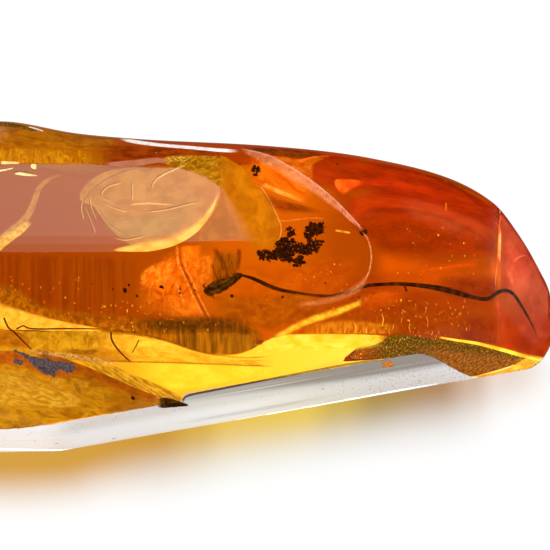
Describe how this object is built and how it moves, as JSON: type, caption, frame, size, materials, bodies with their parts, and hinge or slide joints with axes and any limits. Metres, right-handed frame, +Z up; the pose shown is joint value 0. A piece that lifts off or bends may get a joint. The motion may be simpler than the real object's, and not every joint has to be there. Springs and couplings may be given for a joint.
{
  "type": "polished amber with sealed insect and plant debris",
  "caption": "Polished free-form piece of clear amber lying on a flat ground base, with an insect, a long hair-like thread and plant debris sealed inside; a fossil specimen to show or handle",
  "frame": {"origin": "middle of the bounding box at the level of the flat base", "axes": "+Z up from the base; +X along the length towards the narrow tip; -Y faces the front, where the large ground viewing window is"},
  "size_m": [0.0684, 0.0214, 0.0205],
  "materials": {
    "amber": "clear orange amber, polished all over, with the base and the low front bevel left ground and matt white",
    "inclusion": "dark brown organic matter: insect body, thread, frass and plant crumbs",
    "fracture": "thin golden disc-like stress fractures and flow cracks inside the amber"
  },
  "bodies": {
    "root": {"amber": "amber"}
  },
  "joints": []
}
